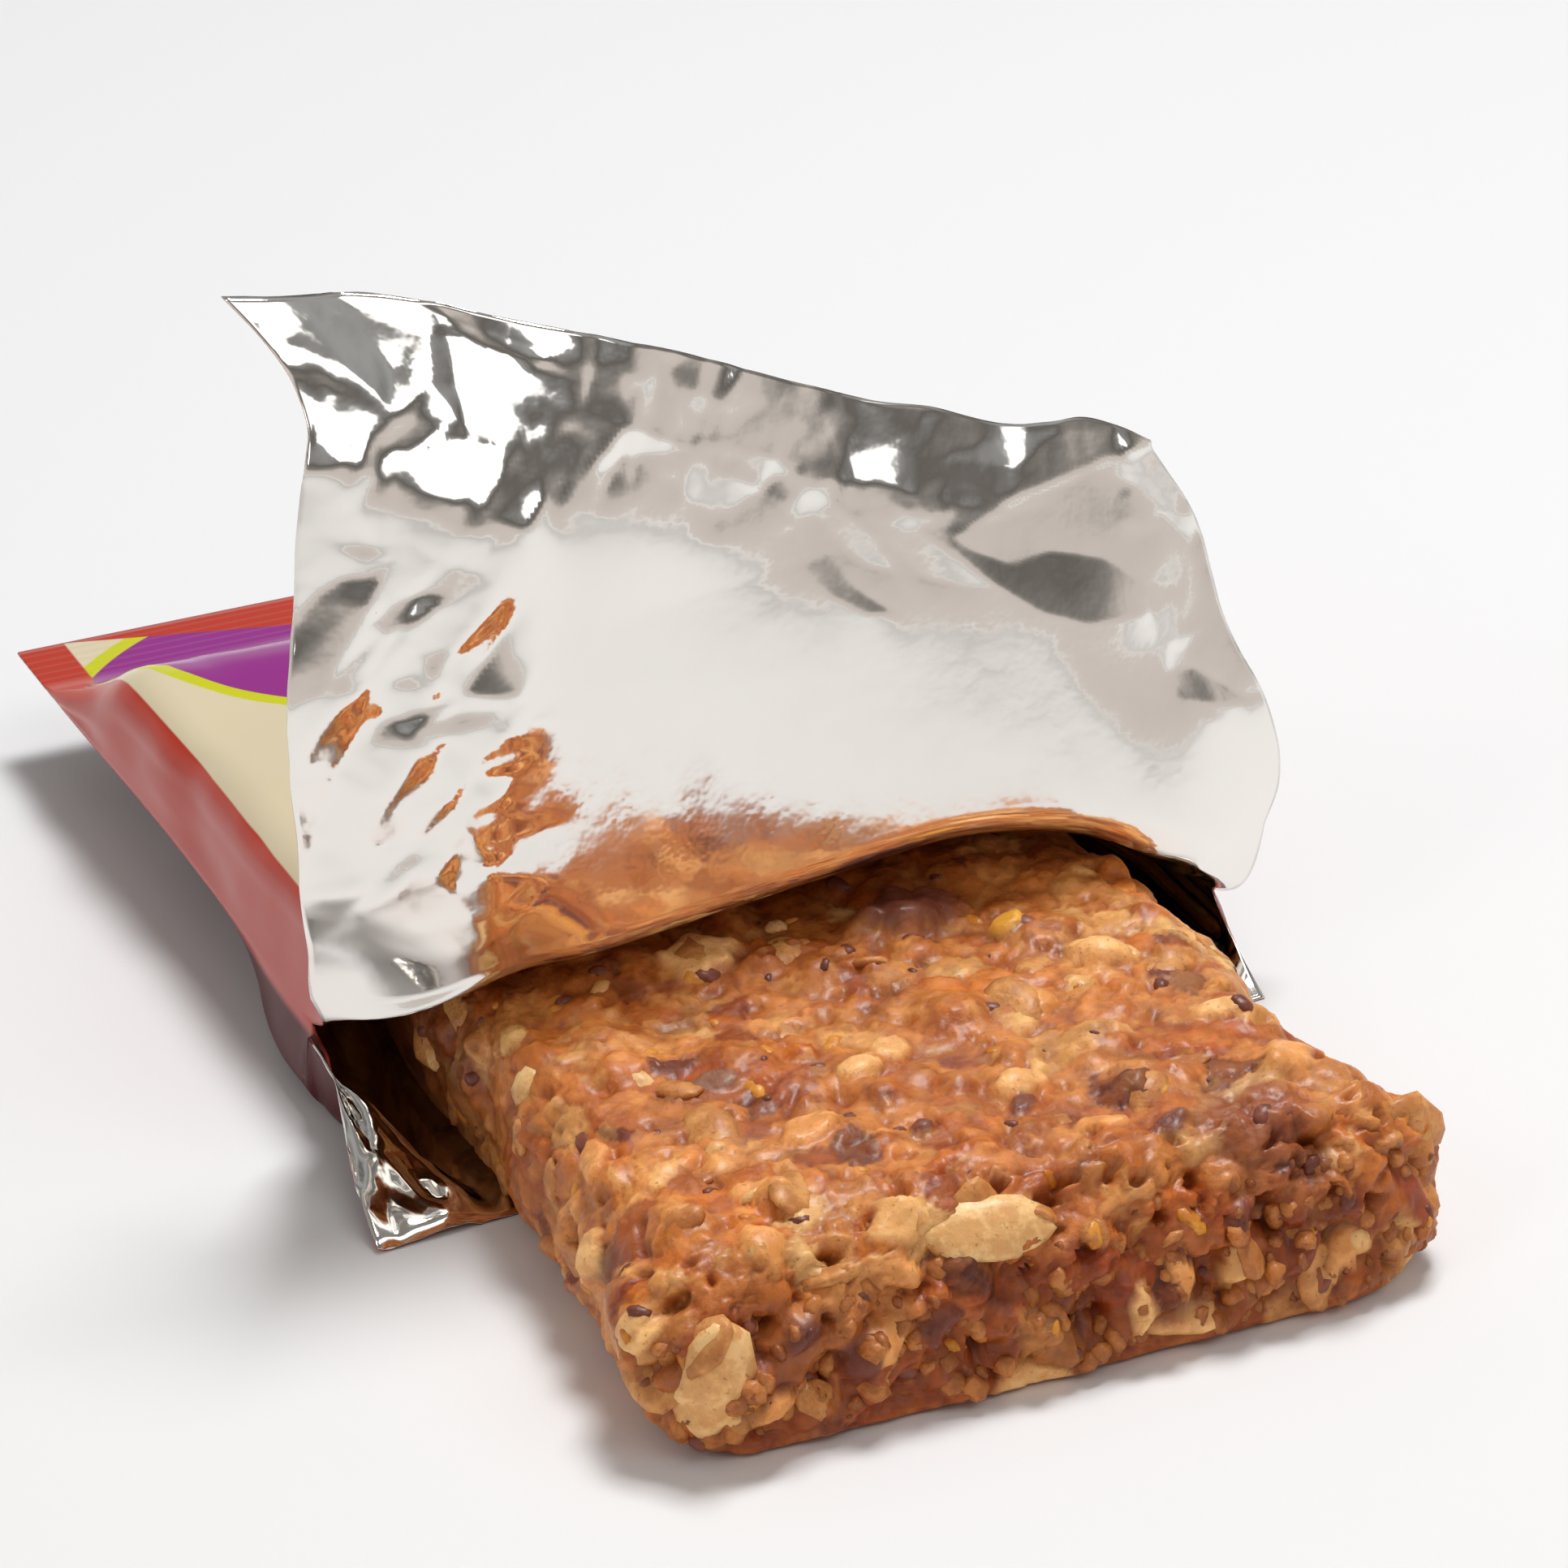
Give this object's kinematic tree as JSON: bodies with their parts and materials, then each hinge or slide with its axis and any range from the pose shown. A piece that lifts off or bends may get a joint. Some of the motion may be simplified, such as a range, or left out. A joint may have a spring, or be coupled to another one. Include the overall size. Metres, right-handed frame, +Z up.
{
  "type": "granola bar in an opened wrapper",
  "caption": "Chewy fruit and cereal bar lying flat, half out of a torn foil flow wrap whose upper panel stands peeled back.",
  "frame": {"origin": "on the flat underside of the wrap, on its centre line, 45 mm in front of the rear seal's edge", "axes": "+Z up, +Y along the bar towards the sealed end of the wrap, +X across it to the right as seen from the open end"},
  "size_m": [0.0544, 0.0872, 0.0469],
  "materials": {
    "bar": "sticky pressed cereal, orange brown, with pale oats and nuts and dark fruit",
    "foil": "bright metallised film, creased",
    "print": "glossy printed film in red, cream, purple and lime fields"
  },
  "bodies": {
    "root": {"bar": "bar", "wrapper": "foil"}
  },
  "joints": []
}
